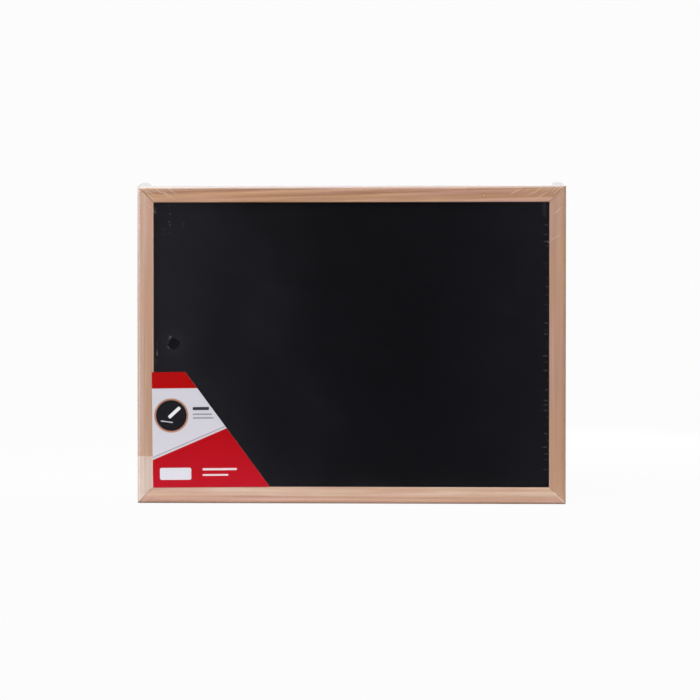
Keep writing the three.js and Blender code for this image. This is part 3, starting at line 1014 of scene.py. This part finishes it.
def edge_pleats():
    """Pleats, specks and folds along the panel's edges, and two folds beside the vent.

    Level pleats run down the right edge, slanted folds fill its upper corner, and specks lie
    halfway down the left edge.
    """
    draw = random.Random(5)
    work = bmesh.new()
    z = INNER_TOP - PLEATS_BELOW_TOP
    while z > INNER_BOTTOM + PLEATS_ABOVE_FOOT:
        length = draw.uniform(*PLEAT_LENGTH)
        width = draw.uniform(*PLEAT_WIDTH)
        x = INNER_RIGHT - 0.55 * length
        film_fold(work, x, z, length, width, draw.uniform(*PLEAT_DEGREES))
        z -= draw.uniform(*PLEAT_GAP)
    for _ in range(SPECKS):
        z = draw.uniform(*SPECK_HEIGHT)
        x = INNER_LEFT + draw.uniform(*SPECK_INWARDS)
        length = draw.uniform(*SPECK_LENGTH)
        film_fold(work, x, z, length, SPECK_WIDTH, draw.uniform(*SPECK_DEGREES))
    for count in range(CORNER_FOLDS):
        x = INNER_RIGHT - draw.uniform(*CORNER_FOLD_INWARDS)
        z = INNER_TOP - CORNER_FOLD_FIRST - count * CORNER_FOLD_STEP
        length = draw.uniform(*CORNER_FOLD_LENGTH)
        film_fold(work, x, z, length, CORNER_FOLD_WIDTH, draw.uniform(*CORNER_FOLD_DEGREES))
    for right, up, length, width, turn in VENT_FOLDS:
        film_fold(work, VENT[0] + right, VENT[1] + up, length, width, turn)
    return work


def film_ear(side):
    """A gathered flap that the shrinking leaves on a top corner: a half disc with a thick rim."""
    work = bmesh.new()
    bmesh.ops.create_circle(
        work,
        segments=RIM_SIDES,
        radius=EAR_RIM,
        matrix=Matrix.Translation((EAR_REACH, 0, 0)),
    )
    half_turn = {"cent": (0, 0, 0), "axis": (0, -1, 0), "angle": math.pi, "steps": EAR_STEPS}
    bmesh.ops.spin(work, geom=work.edges[:], **half_turn)
    web = bmesh.ops.create_grid(
        work,
        x_segments=3,
        y_segments=1,
        size=0.5,
        matrix=Matrix.Diagonal((EAR_REACH, FILM_THICKNESS, 1, 1))
        @ Matrix.Translation((0.5, 0, 0)),
    )["verts"]
    faces = {face for vert in web for face in vert.link_faces}
    bmesh.ops.spin(work, geom=list(faces), **half_turn)
    bmesh.ops.holes_fill(work, edges=work.edges, sides=RIM_SIDES)
    bmesh.ops.remove_doubles(work, verts=work.verts, dist=MERGE)
    bmesh.ops.dissolve_degenerate(work, edges=work.edges, dist=MERGE)
    bmesh.ops.recalc_face_normals(work, faces=work.faces)
    for vert in work.verts:
        vert.co.y += EAR_CURL * math.sin(vert.co.x / EAR_REACH * EAR_CURL_TURN)
    place = Vector((side * (RIGHT - EAR_INSET), FRONT + FILM_ROUND, TOP))
    bmesh.ops.transform(
        work,
        verts=work.verts,
        matrix=Matrix.Translation(place)
        @ Matrix.Rotation(math.radians(EAR_LEAN_DEGREES * side), 4, "Y")
        @ Matrix.Diagonal((1, 1, EAR_HEIGHT / EAR_REACH, 1)),
    )
    return work


def vent_rim():
    """The melted edge of the vent, a thin bead that follows its shape."""
    x, z = VENT
    centre = Vector((x, FRONT - film_lift(x, z), z))
    work = bmesh.new()
    bmesh.ops.create_circle(
        work,
        segments=RIM_SIDES,
        radius=VENT_RIM,
        matrix=Matrix.Translation(centre + Vector((VENT_RADIUS, 0, 0))),
    )
    bmesh.ops.spin(
        work,
        geom=list(work.edges),
        cent=centre,
        axis=(0, 1, 0),
        angle=math.tau,
        steps=VENT_STEPS,
        use_merge=True,
    )
    close_up(work)
    for vert in work.verts:
        outward = vert.co - centre
        outward.y = 0
        vert.co += outward * (vent_reach(outward.x, outward.z) - 1)
    return work


def shrink_film():
    """The film's pieces, all on the board."""
    clear = film_finish("shrink_film", haze=0.0, roughness=0.15)
    creased = film_finish("shrink_film_creased", haze=0.42, roughness=0.3, milk_tone=(255, 226, 198))
    pleated = film_finish(
        "shrink_film_pleated", haze=0.012, roughness=0.3, gleam=0.026, milk_tone=(244, 206, 200)
    )
    flapped = film_finish("shrink_film_flapped", haze=0.2, roughness=0.2, milk_tone=(206, 198, 198))
    # The top and left rounds carry more haze and gloss than the front: a painted highlight over the
    # film's own gloss.
    taut = {"roughness": 0.5, "waviness": 0.06, "milk_tone": (236, 234, 234), "rounded": True}
    top = film_finish("shrink_film_top", haze=0.44, gleam=0.27, **taut)
    left = film_finish("shrink_film_left", haze=0.04, gleam=0.065, upper_highlight_haze=0.42, **taut)
    piece(film_shell(), "film_wrap", [clear, top, left])
    piece(corner_creases(), "film_creases", [creased], sharp_degrees=180)
    piece(edge_pleats(), "film_pleats", [pleated], sharp_degrees=180)
    piece(vent_rim(), "film_vent_rim", [clear], sharp_degrees=180)
    for side, name in ((-1, "film_ear_left"), (1, "film_ear_right")):
        piece(film_ear(side), name, [flapped], sharp_degrees=60)


# Card


def card_sheet():
    """The card, drawn in its own plane and then turned into place."""
    work = bmesh.new()
    bmesh.ops.create_grid(
        work,
        x_segments=round(CARD_WIDTH / CARD_STEP),
        y_segments=round(CARD_HEIGHT / CARD_STEP),
        size=0.5,
        matrix=Matrix.Rotation(math.pi / 2, 4, "X")
        @ Matrix.Diagonal((CARD_WIDTH, CARD_HEIGHT, 1, 1))
        @ Matrix.Translation((0.5, 0.5, 0)),
    )
    bmesh.ops.bisect_plane(
        work,
        geom=work.verts[:] + work.edges[:] + work.faces[:],
        plane_co=(CARD_WIDTH, 0, 0),
        plane_no=(CARD_HEIGHT, 0, CARD_WIDTH - CARD_TOP_WIDTH),
        clear_outer=True,
    )
    bmesh.ops.remove_doubles(work, verts=work.verts, dist=CARD_MERGE)
    bmesh.ops.dissolve_degenerate(work, edges=work.edges, dist=CARD_MERGE)
    foot = min(work.verts, key=lambda vert: vert.co.x + vert.co.z)
    ease(work, [foot], CARD_CORNER, CARD_CORNER_STEPS, "VERTICES")
    thicken(work, CARD_THICKNESS)
    bmesh.ops.recalc_face_normals(work, faces=work.faces)
    for vert in work.verts:
        inward = max(0.0, vert.co.x - 2 * CARD_LAP) * max(0.0, vert.co.z - 2 * CARD_DROP)
        vert.co.y += min(1.0, inward / (CARD_WIDTH * CARD_HEIGHT / 4)) * CARD_SAG
    place = Vector((CARD_FOOT.x, CARD_LOW.y, CARD_FOOT.z))
    turn = Matrix.Translation(place) @ Matrix.Rotation(-CARD_TURN, 4, "Y")
    bmesh.ops.transform(work, verts=work.verts, matrix=turn)
    for face in work.faces:
        face.material_index = 0 if face.normal.y < -0.5 else 1
    return work


def card_print():
    """Red print with a white field whose foot slants.

    On them lie a dark disc with a stick of chalk, plain bars and a blank block.
    """
    made, nodes, shader = principled("card_print", Roughness=0.45, Specular_IOR_Level=0.12)
    plane = nodes.place(nodes.objects(), CARD_FOOT, rotation=(0, -CARD_TURN, 0), kind="TEXTURE")
    right, _, up = nodes.split(plane)
    slope = nodes.math("MULTIPLY_ADD", right, -PRINT_SLOPE, up)

    def band(value, low, high):
        bottom = nodes.span(value, low - PRINT_BLUR, low + PRINT_BLUR)
        top = nodes.span(value, high + PRINT_BLUR, high - PRINT_BLUR)
        return nodes.times(bottom, top)

    def plate(centre, size, corner, turn_degrees=0.0):
        centre = [value * MM for value in centre]
        size = [value * MM for value in size]
        return nodes.plate(plane, centre, size, corner * MM, math.radians(turn_degrees))

    mottle = nodes.times(nodes.noise(nodes.objects(), scale=60, detail=3), 0.3)
    rise = nodes.span(up, *PRINT_SHIFT)
    red = nodes.mix(rise, tone(178, 15, 34), tone(170, 0, 10))
    red = nodes.mix(mottle, red, tone(182, 2, 24))
    white = nodes.mix(rise, tone(204, 203, 211), tone(201, 199, 206))
    white = nodes.mix(mottle, white, tone(210, 208, 214))
    field = nodes.times(band(slope, FIELD_FOOT, CARD_HEIGHT), band(up, 0.0, TOP_STRIP))
    colour = nodes.mix(band(up, TOP_STRIP, 2 * CARD_HEIGHT), red, tone(166, 0, 0))
    colour = nodes.mix(field, colour, white)
    colour = nodes.mix(band(slope, RULE_FOOT, RULE_TOP), colour, tone(150, 150, 158))
    for mask, shade in (  # centre, size, corner and turn, in millimetres and degrees
        (plate((13.4, 50.5), (24, 24), 12), tone(176, 128, 104)),
        (plate((13.4, 50.5), (21.6, 21.6), 10.8), tone(24, 24, 28)),
        (plate((15.6, 52.6), (10.5, 2.3), 0.5, 42), tone(226, 226, 228)),
        (plate((10.2, 46.2), (8.4, 0.7), 0.3, -8), tone(205, 205, 208)),
        (plate((34.2, 55.2), (11.5, 2.2), 0.5), tone(52, 50, 56)),
        (plate((35.2, 51.2), (13.5, 1.1), 0.3), tone(146, 146, 152)),
        (plate((35.8, 48.6), (14.5, 1.1), 0.3), tone(146, 146, 152)),
        (plate((16.0, 9.6), (22, 8.4), 1.2), tone(212, 211, 218)),
        (plate((47.0, 12.6), (24, 1.5), 0.4), tone(222, 205, 210)),
        (plate((44.0, 8.6), (18, 1.2), 0.4), tone(222, 205, 210)),
    ):
        colour = nodes.mix(mask, colour, shade)
    laid = nodes.noise(nodes.objects(), scale=900, detail=3)
    nodes.feed(shader, Base_Color=colour, Normal=nodes.bump(laid, PRINT_RELIEF, 0.3))
    return made


def card_board():
    """The unprinted back and cut edges."""
    made, nodes, shader = principled("card_board", Roughness=0.85, Specular_IOR_Level=0.2)
    fibres = nodes.noise(nodes.objects(), scale=1400, detail=3)
    colour = nodes.mix(fibres, tone(196, 192, 184), tone(222, 219, 213))
    nodes.feed(shader, Base_Color=colour, Normal=nodes.bump(fibres, CARD_RELIEF, 0.4))
    return made


def main():
    make_camera()
    make_floor()
    make_world()
    make_lamps()

    width = RIGHT - LEFT
    height = TOP - BOTTOM
    from_left = (0, 1.0, -LEFT)
    from_right = (0, -1.0, RIGHT)
    from_top = (2, -1.0, TOP)
    from_bottom = (2, 1.0, -BOTTOM)

    # Each rail's rim and arris paint light and shade on its edges: below 1 painted shade, above 1
    # painted highlight.
    smooth_copy("frame_rail_top", "rail_top", finish=wood(
        "wood_top", from_left, from_top, width, seed=1.7, split=3 * MM,
        inner=WARM_WOOD, outer=TAN_WOOD, streak=0.3, lean=0.025, arris=0.93, knot=KNOT,
    ))
    smooth_copy("frame_rail_bottom", "rail_bottom", finish=wood(
        "wood_bottom", from_left, from_bottom, width, seed=5.2, split=5.2 * MM,
        inner=PALE_WOOD, outer=ROSY_WOOD, honeyed=0.3, arris=1.03, pale_mitre=True,
    ))
    smooth_copy("frame_stile_left", "stile_left", finish=wood(
        "wood_left", from_top, from_left, height, seed=9.4, split=6 * MM,
        inner=TAN_WOOD, outer=FADED_WOOD, streak=0.15, honeyed=0.35, rim=0.85,
        paler_below=(FINGER_JOINT, tone(212, 192, 181)),
    ))
    smooth_copy("frame_stile_right", "stile_right", finish=wood(
        "wood_right", from_top, from_right, height, seed=13.1, split=3 * MM,
        inner=BROWN_WOOD, outer=WARM_WOOD, streak=0.11, rosiness=0.35, honeyed=0.35, rim=0.9,
    ))

    look("writing_sheet", slate_finish())
    look("panel_core", fibre_finish())
    look("back_sheet", zinc_finish())
    steel = metal_finish("nail_steel", tone(150, 152, 156), tone(188, 190, 194), 0.34)
    brass = metal_finish("hanger_brass", tone(176, 138, 66), tone(214, 178, 98), 0.3)
    for corner in ("top_left", "top_right", "bottom_left", "bottom_right"):
        smooth_copy(f"corner_nail_{corner}", f"nail_{corner}", steel)
    for side in ("left", "right"):
        strap(f"ring_{side}", f"hanger_strap_{side}", brass)
        for place in ("upper", "lower"):
            name = f"screw_{side}_{place}"
            smooth_copy(f"hanger_{name}", name, brass)
        ring(f"ring_{side}", f"hanger_ring_{side}", brass)
    finishes = [card_print(), card_board()]
    piece(card_sheet(), "card", finishes, replaced=["label_card"])
    shrink_film()


main()
